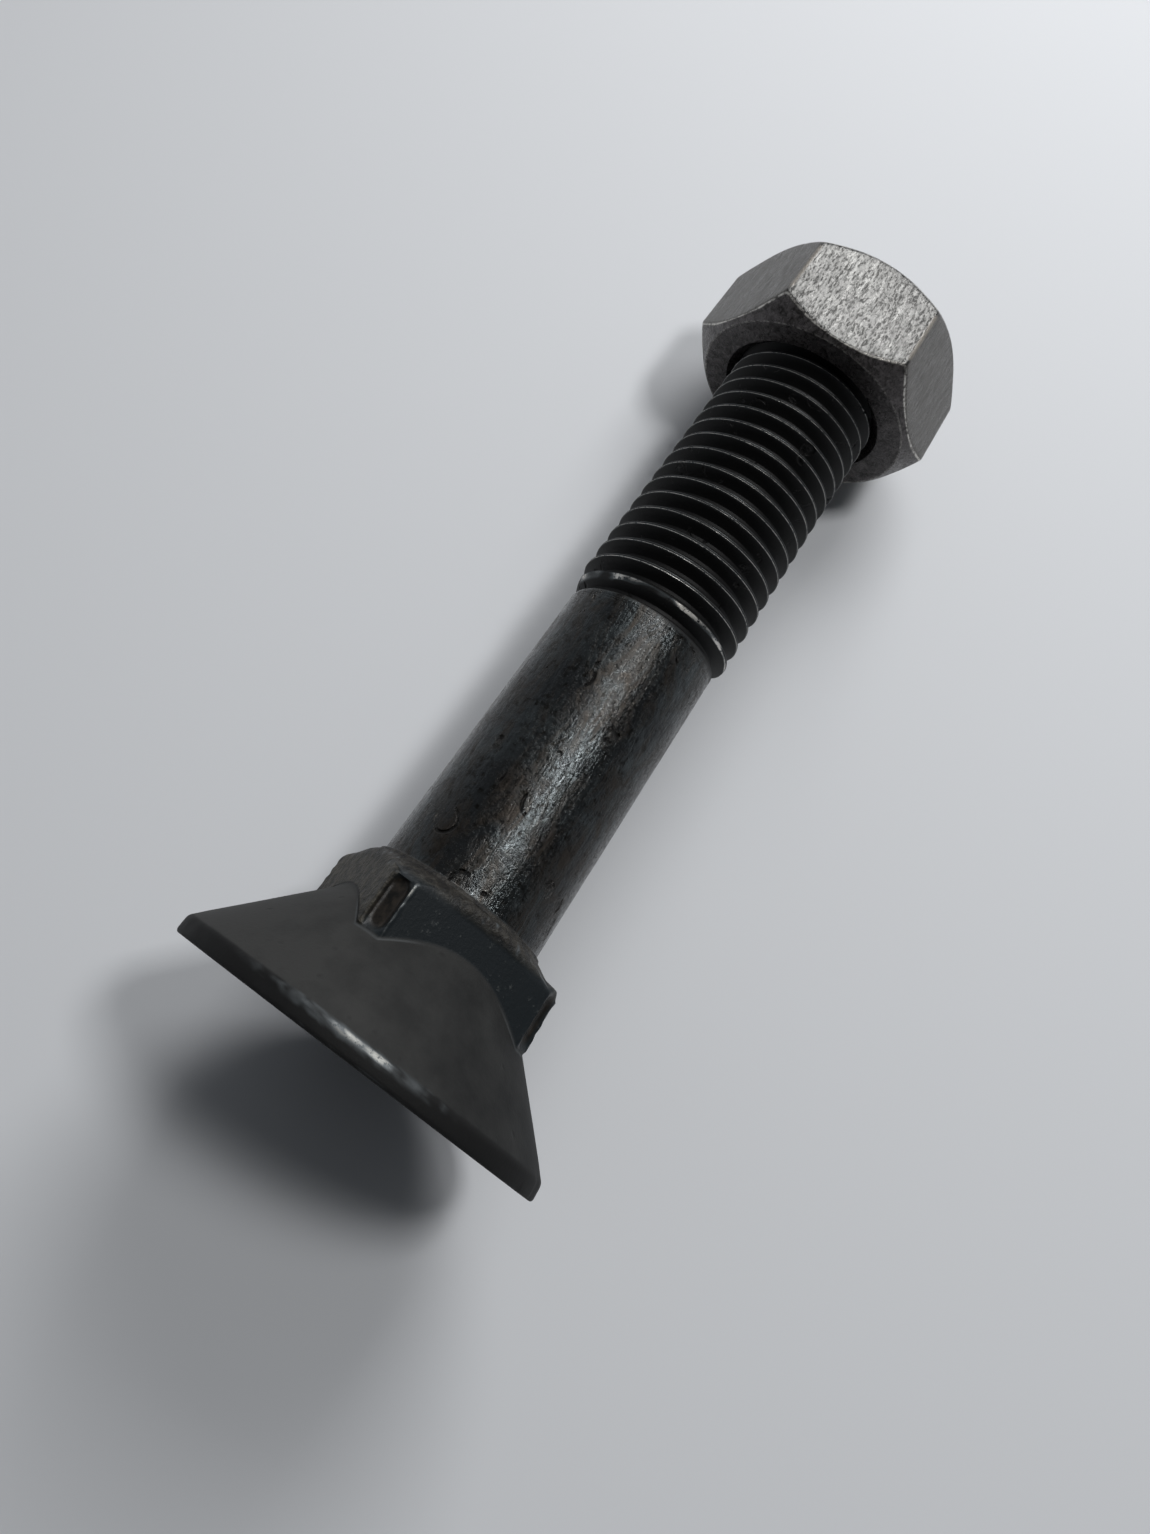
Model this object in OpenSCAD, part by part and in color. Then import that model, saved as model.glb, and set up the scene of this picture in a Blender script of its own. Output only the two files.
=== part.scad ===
// Plow bolt M20 x 2.5 x 110 mm with its hex nut, lying as it comes to rest.
// The bolt is one forged and rolled steel piece. The nut is a second piece that runs on its thread.
// Each piece is drawn upright, with +Z from the flat head face to the threaded end, then laid down.
// The thread is drawn as rings of the true section and spacing.

/* [Head] */
// Diameter of the countersunk head over its rim
head_d = 40.4; // [24:0.1:60]
// Depth of the straight rim round the flat head face
rim_t = 1.6; // [0.5:0.1:4]
// Angle of the seating cone from the bolt axis
cone_deg = 45; // [30:0.5:50]
// Bevel on the outer edge of the head face
head_edge = 0.3; // [0.1:0.1:1]

/* [Square neck] */
// Width across the flats of the square neck
neck_w = 20.5; // [14:0.1:30]
// Width across the cut corners of the square neck
neck_corner_w = 26.3; // [18:0.1:40]
// Distance from the head face to the top of the neck, at the shank
neck_top = 16.4; // [10:0.1:30]
// Distance from the head face to the top of the neck, at the cut corners
neck_low = 14.3; // [9:0.1:28]
// Turn of the neck corners away from the nut's upper flat
neck_turn = 21.4; // [0:0.1:90]

/* [Shank and thread] */
// Diameter of the plain shank, which is the thread's pitch diameter
shank_d = 18.4; // [10:0.1:30]
// Length of the bolt from the head face to the threaded end
bolt_len = 110; // [60:1:200]
// Outside diameter of the thread
thread_d = 20; // [12:0.5:30]
// Spacing of the thread crests
pitch = 2.5; // [1:0.25:4]
// Distance from the head face to the start of the thread
thread_start = 49.6; // [30:0.1:120]
// Bevel at the threaded end
end_bevel = 2; // [0.5:0.1:4]

/* [Nut] */
// Width across the flats of the nut
nut_w = 30; // [18:0.5:46]
// Height of the nut
nut_h = 16; // [8:0.1:24]
// Diameter of the nut's flat faces inside the corner chamfer
nut_face_d = 28.8; // [17:0.1:44]
// Angle of the nut's corner chamfer from its faces
nut_chamfer_deg = 46; // [15:1:50]
// Mouth diameter of the countersink at each end of the nut's bore
nut_mouth_d = 22.2; // [13:0.1:34]
// Distance from the head face to the nut's nearer face
grip_len = 90; // [50:0.5:180]
// Gap all round between the thread crests and the nut's bore
nut_clear = 0.1; // [0.05:0.01:0.3]

/* [Hidden] */
$fn = 96;
HEX = 6;
FLANK_DEG = 30;

head_r = head_d / 2;
shank_r = shank_d / 2;
thread_r = thread_d / 2;
thread_depth = 0.6134 * pitch;
root_r = thread_r - thread_depth;
crest = pitch / 8;
flank = thread_depth * tan(FLANK_DEG);
grooves = floor((bolt_len - end_bevel - thread_start) / pitch);

neck_corner_r = neck_corner_w / 2;
neck_fall = (neck_top - neck_low) / (neck_corner_r - shank_r);
neck_base = rim_t + (head_r - neck_corner_r) / tan(cone_deg) - 2;
spare = 1;

nut_r = nut_w / 2;
nut_corner_r = nut_r / cos(180 / HEX);
nut_face_r = nut_face_d / 2;
nut_slope = tan(nut_chamfer_deg);
nut_wide = nut_corner_r + spare;
nut_drop = (nut_wide - nut_face_r) * nut_slope;
bore_r = thread_r + nut_clear;
mouth_r = nut_mouth_d / 2;
mouth_h = mouth_r - bore_r;

// The bolt rests on its head's rim and on one flat of the nut, so its axis slopes down to the nut.
flat_end = grip_len + nut_h - (nut_r - nut_face_r) * nut_slope;
slope = atan((head_r - nut_r) / (flat_end - rim_t));
lift = head_r * cos(slope) + rim_t * sin(slope);
x_low = -(head_r - head_edge) * sin(slope);
x_high = bolt_len * cos(slope) + (thread_r - end_bevel) * sin(slope);

steel_dark = [0.13, 0.13, 0.14];
steel_grey = [0.36, 0.36, 0.37];

bolt();
nut();

// Forged head, square neck, plain shank and rolled thread, all one piece.
module bolt() {
    color(steel_dark)
        at_rest()
            union() {
                rotate_extrude()
                    turned_half();
                square_neck();
            }
}

// Hex nut with both faces chamfered and both ends of its bore countersunk.
module nut() {
    color(steel_grey)
        at_rest()
            translate([0, 0, grip_len])
                difference() {
                    intersection() {
                        rotate([0, 0, 180 / HEX])
                            cylinder(r = nut_corner_r, h = nut_h, $fn = HEX);
                        rotate_extrude()
                            nut_half();
                    }
                    translate([0, 0, -spare])
                        cylinder(r = bore_r, h = nut_h + 2 * spare);
                    translate([0, 0, -spare])
                        cylinder(r1 = mouth_r + spare, r2 = bore_r, h = mouth_h + spare);
                    translate([0, 0, nut_h - mouth_h])
                        cylinder(r1 = bore_r, r2 = mouth_r + spare, h = mouth_h + spare);
                }
}

// The drawn piece laid down at its resting slope, with the origin on the floor under its middle.
module at_rest() {
    translate([-(x_low + x_high) / 2, 0, lift])
        rotate([0, 90 + slope, 0])
            children();
}

// Half-section of the turned shape: head, shank and thread.
module turned_half() {
    polygon(concat(
        [
            [0, 0],
            [head_r - head_edge, 0],
            [head_r, head_edge],
            [head_r, rim_t],
            [shank_r, rim_t + (head_r - shank_r) / tan(cone_deg)]
        ],
        [for (i = [0 : grooves - 1]) each groove_points(i)],
        [
            [thread_r, bolt_len - end_bevel],
            [thread_r - end_bevel, bolt_len],
            [0, bolt_len]
        ]
    ));
}

// The two sides of one groove. The first starts from the plain shank, which is thinner than a crest.
function groove_points(i) =
    let (top_r = i == 0 ? shank_r : thread_r)
    let (z = thread_start + i * pitch + crest / 2)
    [
        [top_r, z + (thread_r - top_r) * tan(FLANK_DEG)],
        [root_r, z + flank],
        [root_r, z + pitch - crest - flank],
        [thread_r, z + pitch - crest]
    ];

// Square neck with its corners cut flat and its top falling away towards them.
module square_neck() {
    intersection() {
        rotate([0, 0, 135 - neck_turn])
            intersection() {
                translate([-neck_w / 2, -neck_w / 2, neck_base])
                    cube([neck_w, neck_w, neck_top]);
                rotate([0, 0, 45])
                    translate([-neck_corner_r, -neck_corner_r, neck_base])
                        cube([neck_corner_w, neck_corner_w, neck_top]);
            }
        rotate_extrude()
            polygon([
                [0, neck_base],
                [neck_corner_r + spare, neck_base],
                [neck_corner_r + spare, neck_low - spare * neck_fall],
                [shank_r - spare, neck_top + spare * neck_fall],
                [0, neck_top + spare * neck_fall]
            ]);
    }
}

// Half-section that cuts the hexagon's corners to a cone at both faces.
module nut_half() {
    polygon([
        [0, 0],
        [nut_face_r, 0],
        [nut_wide, nut_drop],
        [nut_wide, nut_h - nut_drop],
        [nut_face_r, nut_h],
        [0, nut_h]
    ]);
}
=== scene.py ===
import math
import bmesh
import bpy
from mathutils import Matrix, Vector, noise


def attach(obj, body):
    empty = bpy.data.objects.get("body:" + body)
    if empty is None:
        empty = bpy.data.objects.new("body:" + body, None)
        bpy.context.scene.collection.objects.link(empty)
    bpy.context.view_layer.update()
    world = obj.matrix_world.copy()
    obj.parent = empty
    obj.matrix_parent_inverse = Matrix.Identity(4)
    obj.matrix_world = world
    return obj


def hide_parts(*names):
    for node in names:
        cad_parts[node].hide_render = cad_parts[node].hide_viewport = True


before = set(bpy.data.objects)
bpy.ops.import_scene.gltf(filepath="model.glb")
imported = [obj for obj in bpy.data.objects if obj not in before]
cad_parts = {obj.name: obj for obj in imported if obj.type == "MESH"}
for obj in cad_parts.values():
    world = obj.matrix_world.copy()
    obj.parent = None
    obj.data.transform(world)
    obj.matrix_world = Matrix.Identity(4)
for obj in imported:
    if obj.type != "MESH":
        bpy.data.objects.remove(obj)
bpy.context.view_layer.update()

# Camera: a phone held above the head, looking down along the bolt to its nut, and rolled a little.
# It is a wide lens, 27 mm on a frame 36 mm tall, and the bolt lies below and left of the lens axis.
FRAME_W, FRAME_H = 1150, 1534
LENS_PX = 1148.56
AXIS_PX = (657.37, 427.12)
SENSOR_MM = 36
NEAR_CLIP = 0.005
CAMERA_AT = Vector((-0.048132, -0.005579, 0.143683))
CAMERA_RIGHT = Vector((0.530434, -0.831971, 0.162679)).normalized()
CAMERA_BACK = Vector((-0.471057, -0.129723, 0.872512)).normalized()
camera_data = bpy.data.cameras.new("camera")
camera = bpy.data.objects.new("camera", camera_data)
bpy.context.scene.collection.objects.link(camera)
camera_data.sensor_fit = "VERTICAL"
camera_data.sensor_height = SENSOR_MM
camera_data.lens = LENS_PX * SENSOR_MM / FRAME_H
camera_data.shift_x = (FRAME_W / 2 - AXIS_PX[0]) / FRAME_H
camera_data.shift_y = (AXIS_PX[1] - FRAME_H / 2) / FRAME_H
camera_data.clip_start = NEAR_CLIP
camera_up = CAMERA_BACK.cross(CAMERA_RIGHT).normalized()
camera_turn = Matrix((CAMERA_RIGHT, camera_up, CAMERA_BACK)).transposed().to_4x4()
camera.matrix_world = Matrix.Translation(CAMERA_AT) @ camera_turn
bpy.context.scene.camera = camera

# Bolt: one piece of medium-carbon steel bar, its head and square neck hot-forged in one blow on the end. A
# 45 degree cone rises from a straight rim, and each corner of the neck is cut flat, with a shallow channel.
# It is made upright in mm, +Z towards the threaded end, and LAID puts it on the floor, in metres.
MM = 0.001
SLOPE = math.radians(2.8684994)
LAID_AT = (-54.6333253 * MM, 0, 20.25476 * MM)
LAID_TURN = math.radians(90) + SLOPE
LAID = Matrix.Translation(LAID_AT) @ Matrix.Rotation(LAID_TURN, 4, "Y") @ Matrix.Scale(MM, 4)
HEAD_R = 20.2
RIM_H = 1.6
SHANK_R = 9.2
NECK_FLAT_R = 10.25
NECK_CORNER_R = 13.15
NECK_EDGE_BLEND = 0.1
NECK_TOP = 16.25
CORNER_TURN = math.radians(68.6)        # the neck's first corner, about the axis
CORNER_SPACING = math.pi / 2
EDGE_OFF = math.radians(5.84)           # from the middle of a cut corner to its edge


def smooth(low, high, value):
    """0 at low and before it, 1 at high and beyond it, with an even S between."""
    t = min(max((value - low) / (high - low), 0), 1)
    return t * t * (3 - 2 * t)


def softer(a, b, blend):
    """The lesser of two radii, with the corner where they cross rounded off."""
    return (a + b - math.hypot(a - b, blend)) / 2


def arc(start, corner, end, t):
    """A point on the rounded corner between two straight lines of the profile."""
    return tuple((1 - t) ** 2 * s + 2 * t * (1 - t) * c + t * t * e for s, c, e in zip(start, corner, end))


def uneven(turn, z, grain, seed, around=HEAD_R):
    """Seeded waviness from -1 to 1 over the surface at radius around, in patches of grain mm."""
    reach = around / grain
    return noise.noise(Vector((math.cos(turn) * reach, math.sin(turn) * reach, z / grain + seed)))


def placed(point, turn, r, z):
    point.co = (r * math.cos(turn), r * math.sin(turn), z)


def next_ring(bm, ring, mark, shape, wear=0):
    """Draws the open ring of edges out to a new ring at shape(turn), and marks each point with wear(turn),
    which on the bolt also carries painted shade and highlight.
    """
    grown = bmesh.ops.extrude_edge_only(bm, edges=ring)["geom"]
    points = {g for g in grown if isinstance(g, bmesh.types.BMVert)}
    for point in points:
        turn = math.atan2(point.co.y, point.co.x)
        placed(point, turn, *shape(turn))
        point[mark] = wear(turn) if callable(wear) else wear
    return [g for g in grown if isinstance(g, bmesh.types.BMEdge) and set(g.verts) <= points]


def off_corner(turn, first, spacing):
    """Angle from the nearest of the corners that stand at equal spacing from the first."""
    return (turn - first + spacing / 2) % spacing - spacing / 2


def corner_off(turn):
    """Angle from the nearest corner of the neck, from -45 to 45 degrees."""
    return off_corner(turn, CORNER_TURN, CORNER_SPACING)


def crowded(u, shares):
    """Angle from a corner for an even step u, from pairs of a share of the way round and its degrees."""
    for (low, from_deg), (high, to_deg) in zip(shares, shares[1:]):
        if u < high:
            break
    return math.radians(from_deg + (to_deg - from_deg) * (u - low) / (high - low))


def first_ring(bm, radius, steps, first, spacing, shares, cap):
    """Starts a piece with a flat ring, its points crowded near corners spaced evenly from the first."""
    bmesh.ops.create_circle(bm, cap_ends=cap, radius=radius, segments=steps)
    bmesh.ops.rotate(bm, verts=bm.verts, matrix=Matrix.Rotation(first, 3, "Z"))
    for point in bm.verts:
        turn = math.atan2(point.co.y, point.co.x)
        off = off_corner(turn, first, spacing)
        turn += math.copysign(crowded(abs(off) / (spacing / 2), shares), off) - off
        placed(point, turn, point.co.xy.length, 0)
    return bm.edges[:]


# the channel: a slot that the die left down each cut corner, rounded at its ends and along its floor
CHANNEL_HALF_W = 1.36
CHANNEL_LOW, CHANNEL_HIGH = 8.8, 14.25
CHANNEL_DEPTH = 0.5
CHANNEL_WALL = (-0.05, 0.75)            # how far in from the brink the wall starts and ends


def channel(off, z):
    """Depth of the channel at an angle off the corner and a height."""
    middle, half_len = (CHANNEL_LOW + CHANNEL_HIGH) / 2, (CHANNEL_HIGH - CHANNEL_LOW) / 2
    along = max(abs(z - middle) - (half_len - CHANNEL_HALF_W), 0)
    inside = CHANNEL_HALF_W - math.hypot(NECK_CORNER_R * math.tan(off), along)
    return CHANNEL_DEPTH * smooth(*CHANNEL_WALL, inside)


# the lip: a burr that the trimming die left along both edges of a cut corner, higher on the left one
LIP_W = 0.17
LIP_LEFT, LIP_RIGHT = 0.12, 0.05
LIP_MEAN, LIP_VARIES = 0.7, 1.1
LIP_FROM = (8.2, 8.9)


def lip(turn, z):
    """Height of the lip."""
    off = corner_off(turn)
    side = (abs(off) - EDGE_OFF) * NECK_CORNER_R / LIP_W
    height = LIP_LEFT if off > 0 else LIP_RIGHT
    broken = LIP_MEAN + LIP_VARIES * uneven(turn, z, grain=0.7, seed=3)
    return height * math.exp(-side * side) * broken * smooth(*LIP_FROM, z)


def neck_r(turn):
    off = corner_off(turn)
    flat = NECK_FLAT_R / math.cos(math.pi / 4 - abs(off))
    return softer(flat, NECK_CORNER_R / math.cos(off), NECK_EDGE_BLEND)


def cone_z(r):
    return RIM_H + HEAD_R - r


# the top of the neck falls from the shank to the corners, and one corner carries a fin of flash
NECK_FALL = 0.5316
SHOULDER_ROUGH = 0.05
FLASH_TURN = math.radians(248.6)
FLASH_HALF_TURN = math.radians(5)
FLASH_H = 0.6
FLASH_FROM = (12.5, 13.05)


def shoulder_z(turn, r):
    beside = (turn - FLASH_TURN + math.pi) % (2 * math.pi) - math.pi
    flash = FLASH_H * math.exp(-(beside / FLASH_HALF_TURN) ** 4) * smooth(*FLASH_FROM, r)
    return NECK_TOP - NECK_FALL * (r - SHANK_R) + flash + SHOULDER_ROUGH * uneven(turn, r, grain=1.3, seed=8)


# the flat face, then the rim: each ring's step out from the head's radius, its height, and how rubbed it is
RING_STEPS = 288
NECK_CROWD = ((0, 0), (10 / 36, 5), (0.5, 8), (1, 45))
FACE_INSET = 0.36
RIM_PROFILE = (
    (-0.25, 0.01, 0), (-0.12, 0.07, 0.2), (-0.03, 0.2, 0.3), (0, 0.4, 0), (0, 0.8, 0.15), (0, 1.15, 0.5),
    (-0.01, 1.35, 0.7), (-0.04, 1.52, 0.8), (-0.11, 1.67, 0.75), (-0.22, 1.82, 0.5), (-0.45, 2.05, 0.1),
)
RIM_SPARE = 0.01                        # keeps the uneven rim within its size
NICK_DEPTH, NICK_FROM = 0.13, 0.12
DENT_DEPTH = 0.05
RUBBED_MEAN, RUBBED_PATCHES, RUBBED_FLECKS = 0.8, 0.6, 0.8
RUBBED_AND_LIT_HALF_TURN = 0.4                  # the rim's upper side, rubbed bare and painted brighter as a highlight, and the rest much less
RUBBED_AND_LIT_REST = 0.12
bolt_bm = bmesh.new()
wear_and_painted_light = bolt_bm.verts.layers.float.new("wear_and_painted_light")
ring = first_ring(
    bolt_bm, HEAD_R - FACE_INSET, RING_STEPS, CORNER_TURN, CORNER_SPACING, NECK_CROWD, cap=True)
for inset, z, wear in RIM_PROFILE:
    def rim(turn, inset=inset, z=z):
        nick = NICK_DEPTH * max(uneven(turn, z, grain=1.8, seed=20) - NICK_FROM, 0)
        nick += DENT_DEPTH * max(uneven(turn, z, grain=5, seed=30), 0)
        return HEAD_R + inset - nick - RIM_SPARE, z

    def rim_wear_and_highlight(turn, wear=wear):
        from_top = (turn % (2 * math.pi)) - math.pi
        patch = RUBBED_MEAN + RUBBED_PATCHES * uneven(turn, wear, grain=3.1, seed=33)
        patch += RUBBED_FLECKS * uneven(turn, 3 * wear, grain=0.9, seed=35)
        # painted highlight: the rubbed steel gathers on the side of the rim that faces up, where the light
        # falls
        rubbed_and_lit_top = math.exp(-(from_top / RUBBED_AND_LIT_HALF_TURN) ** 2)
        return wear * patch * (RUBBED_AND_LIT_REST + (1 - RUBBED_AND_LIT_REST) * rubbed_and_lit_top)
    ring = next_ring(bolt_bm, ring, wear_and_painted_light, rim, rim_wear_and_highlight)

# the cone, swelling a little between the rim and the neck
CONE_STEPS = 12
CONE_FROM = HEAD_R + RIM_PROFILE[-1][0]
CONE_SWELL = 0.03
FILLET_OUT, FILLET_UP = 0.2, 0.28
for step in range(1, CONE_STEPS + 1):
    def cone(turn, t=step / CONE_STEPS):
        r = (1 - t) * CONE_FROM + t * (neck_r(turn) + FILLET_OUT)
        swell = CONE_SWELL * uneven(turn, r, grain=7, seed=40) * math.sin(math.pi * t)
        return r + swell, cone_z(r) + swell
    ring = next_ring(bolt_bm, ring, wear_and_painted_light, cone)

# the fillet where the neck stands on the cone, rubbed a little below each cut corner
ROUNDING = (0.25, 0.5, 0.75, 1)
FILLET_WEAR = 0.34
FILLET_WEAR_TURN = (math.radians(32), math.radians(12))
for t in ROUNDING:
    def fillet(turn, t=t):
        r = neck_r(turn)
        z = cone_z(r)
        return arc((r + FILLET_OUT, z - FILLET_OUT), (r, z), (r, z + FILLET_UP), t)

    def fillet_wear(turn, t=t):
        return FILLET_WEAR * math.sin(math.pi * t) * smooth(*FILLET_WEAR_TURN, abs(corner_off(turn)))
    ring = next_ring(bolt_bm, ring, wear_and_painted_light, fillet, fillet_wear)

# the neck's sides and rounded top edge: the die wasn't filled at the flats, and the corners are crisper
NECK_RINGS = 20
NECK_ROUND, NECK_ROUND_MORE = 0.32, 0.6
NECK_ROUND_TURN = (math.radians(6), math.radians(18))
RIDGE_ROOM = 0.5
SIDE_ROUGH = 0.07
SIDE_ROUGH_FROM = (14.4, 15.4)
BURR_W = 0.14                           # the bright line along the left lip
BURR_FROM = (-0.1, 0.3)
BURR_WEAR, BURR_WEAR_MORE, BURR_VARIES = 0.25, 0.5, 1.6
BURR_END = NECK_TOP - 2.4
HOLLOW_SHADE_MARK = 2                         # wear below 0 marks a channel's hollow, painted darker as shade over crusted scale


def neck_round(turn):
    return NECK_ROUND + NECK_ROUND_MORE * smooth(*NECK_ROUND_TURN, abs(corner_off(turn)))


def round_reach(turn):
    """How far in from the neck's side its rounded edge reaches, leaving room for the ridge at the shank."""
    return min(neck_round(turn), 0.5 * (neck_r(turn) - SHANK_R - RIDGE_ROOM))


for step in range(1, NECK_RINGS + 1):
    def side(turn, t=step / NECK_RINGS):
        r = neck_r(turn)
        z = (1 - t) * (cone_z(r) + FILLET_UP) + t * (shoulder_z(turn, r) - neck_round(turn))
        rough = SIDE_ROUGH * uneven(turn, z, grain=0.9, seed=50) * smooth(*SIDE_ROUGH_FROM, z)
        return r - channel(corner_off(turn), z) + lip(turn, z) + min(rough, 0), z

    def side_wear(turn, t=step / NECK_RINGS):
        off = corner_off(turn)
        burr = math.exp(-((off - EDGE_OFF) * NECK_CORNER_R / BURR_W) ** 2) * smooth(*BURR_FROM, t)
        z = (1 - t) * cone_z(NECK_CORNER_R) + t * BURR_END
        broken = 1 + BURR_VARIES * uneven(turn, z, grain=0.8, seed=44)
        burr *= (BURR_WEAR + BURR_WEAR_MORE * t) * broken
        # below 0: the channel's depth, which the finish paints darker as shade
        return burr - HOLLOW_SHADE_MARK * channel(off, z) * (1 - burr)
    ring = next_ring(bolt_bm, ring, wear_and_painted_light, side, side_wear)

EDGE_ROUGH = 0.06
EDGE_WEAR, EDGE_FLECKS, EDGE_FLECKS_FROM = 0.05, 0.9, 0.1
for t in ROUNDING:
    def edge(turn, t=t):
        r, inner = neck_r(turn), neck_r(turn) - round_reach(turn)
        top = shoulder_z(turn, r)
        low = (r + lip(turn, top) / 2, top - neck_round(turn))
        r, z = arc(low, (r, top), (inner, shoulder_z(turn, inner)), t)
        return r, z + EDGE_ROUGH * uneven(turn, r, grain=0.8, seed=60)

    def edge_wear(turn, t=t):
        return EDGE_WEAR + EDGE_FLECKS * max(uneven(turn, t, grain=0.7, seed=66) - EDGE_FLECKS_FROM, 0)
    ring = next_ring(bolt_bm, ring, wear_and_painted_light, edge, edge_wear)

RIDGE_FOOT = 0.52
SHOULDER_STEPS = (0.35, 0.7, 1)
for t in SHOULDER_STEPS:
    def shoulder(turn, t=t):
        r = (1 - t) * (neck_r(turn) - round_reach(turn)) + t * (SHANK_R + RIDGE_FOOT)
        return r, shoulder_z(turn, r) + SHOULDER_ROUGH * uneven(turn, r, grain=0.9, seed=70)
    ring = next_ring(bolt_bm, ring, wear_and_painted_light, shoulder)

# the ridge that the die's upper edge leaves round the foot of the shank: step out, step up, and wear
RIDGE = ((0.4, 0.0, 0.1), (0.26, 0.05, 0.25), (0.12, 0.0, 0.15), (0.02, -0.06, 0), (0, 0.15, 0), (0, 1, 0))
for out, up, wear in RIDGE:
    ring = next_ring(bolt_bm, ring, wear_and_painted_light, lambda turn: (SHANK_R + out, NECK_TOP + up), wear)
neck_end = ring

# its shank and thread: below the head the bar is drawn to the thread's pitch diameter, and the thread is
# cold-rolled between flat dies, which press the grooves in and raise the crests. Each crest keeps the seam
# where its two sides met, and the first one is low, wide and ragged where the dies' ends stop short.
PITCH = 2.5
THREAD_R = 10
BOLT_LEN = 110
END_BEVEL = 2
CREST_Z = 50.7746                       # height of a crest at turn 0
THREAD_STEPS = 120
THREAD_TURNS = 26
THREAD_CUT = 48.4                       # where the plain shank takes over from the run-out
WELD = 0.0005
GROOVE = (                              # one pitch: height, radius
    (0, 9.94), (0.07, 9.955), (0.13, 9.975), (0.175, 9.955), (0.3, 9.75), (0.46, 9.47), (0.66, 9.125),
    (0.95, 8.62), (1.06, 8.5), (1.25, 8.4665), (1.44, 8.5), (1.55, 8.62), (1.84, 9.125), (2.04, 9.47),
    (2.2, 9.75), (2.325, 9.97), (2.37, 10), (2.43, 9.965), (2.5, 9.94),
)


def threaded(bm, profile, low_z, turns, ends):
    """Spins one turn of thread, stacks and welds the turns and cuts both ends. Gives the thread's points."""
    before = set(bm.faces)

    def new_faces():
        return [f for f in bm.faces if f not in before]

    def points_of(faces):
        return list(dict.fromkeys(v for f in faces for v in f.verts))

    line = [bm.verts.new((r, 0, low_z + z)) for z, r in profile]
    strip = line + [bm.edges.new(pair) for pair in zip(line, line[1:])]
    bmesh.ops.spin(
        bm, geom=strip, cent=(0, 0, 0), axis=(0, 0, 1), dvec=(0, 0, PITCH / THREAD_STEPS),
        angle=2 * math.pi, steps=THREAD_STEPS, use_merge=False)
    turn = new_faces()
    for count in range(1, turns):
        copy = bmesh.ops.duplicate(bm, geom=turn)["geom"]
        moved = points_of(g for g in copy if isinstance(g, bmesh.types.BMFace))
        bmesh.ops.translate(bm, vec=(0, 0, PITCH * count), verts=moved)
    bmesh.ops.remove_doubles(bm, verts=points_of(new_faces()), dist=WELD)
    for at, below in zip(ends, (True, False)):
        faces = new_faces()
        edges = list(dict.fromkeys(e for f in faces for e in f.edges))
        bmesh.ops.bisect_plane(
            bm, geom=points_of(faces) + edges + faces, dist=WELD, plane_co=(0, 0, at), plane_no=(0, 0, 1),
            clear_inner=below, clear_outer=not below)
    return points_of(new_faces())


# the run-out, where the crests are capped and the roots filled, then the wear and raggedness of the crests
CAP_RISE = (50.3, 52.9)
CAP_WANDERS = 0.3
ROOT_RISE = (48.9, 50.6)
CREST_BAND = (THREAD_R - 0.05, THREAD_R - 0.002)
CAPPED = (0, 0.08)                      # a capped crest counts as a crest from this far above its cap
CAP_SHOWS = (0.05, 0.25)
RAGGED, RAGGED_MORE, RAGGED_FROM = 0.035, 0.05, -0.15
RAGGED_FALL = (52, 60)
CREST_WEAVES = 0.03
WEAVE_RISE = (THREAD_CUT, 50)
FIRST_CREST = (51.5, 53)
FIRST_LOSS, FIRST_VARIES = 0.4, 1.3     # the low first crest is rubbed less, and in patches
WEAR_RISE = (50, 51)
for point in threaded(bolt_bm, GROOVE, CREST_Z - 2 * PITCH, THREAD_TURNS, (THREAD_CUT, BOLT_LEN)):
    turn, r, z = math.atan2(point.co.y, point.co.x), point.co.xy.length, point.co.z
    wandered = z + CAP_WANDERS * uneven(turn, z, grain=3, seed=5, around=THREAD_R)
    cap = SHANK_R + (THREAD_R - SHANK_R) * smooth(*CAP_RISE, wandered)
    crest = smooth(*CREST_BAND, r)
    if r > cap:
        crest = max(crest, smooth(*CAPPED, r - cap) * smooth(*CAP_SHOWS, cap - SHANK_R))
        r = cap
    if r < SHANK_R:
        r = SHANK_R + (r - SHANK_R) * smooth(*ROOT_RISE, z)
    ragged = RAGGED + RAGGED_MORE * (1 - smooth(*RAGGED_FALL, z))
    r -= crest * ragged * max(uneven(turn, z, grain=0.7, seed=9, around=THREAD_R) - RAGGED_FROM, 0)
    weave = crest * CREST_WEAVES * uneven(turn, z, grain=1.6, seed=11, around=THREAD_R)
    z += weave * smooth(*WEAVE_RISE, z) * smooth(0, 1, BOLT_LEN - z)
    r = min(r, BOLT_LEN - END_BEVEL + THREAD_R - z)
    placed(point, turn, r, z)
    loss = FIRST_LOSS - FIRST_VARIES * uneven(turn, z, grain=1.7, seed=14, around=THREAD_R)
    point[wear_and_painted_light] = crest * (1 - (1 - smooth(*FIRST_CREST, z)) * loss) * smooth(*WEAR_RISE, z)


def open_ring(bm, z):
    """The open edges of the mesh that lie at height z."""
    return [e for e in bm.edges if e.is_boundary and all(abs(v.co.z - z) < 2 * WELD for v in e.verts)]


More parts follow.
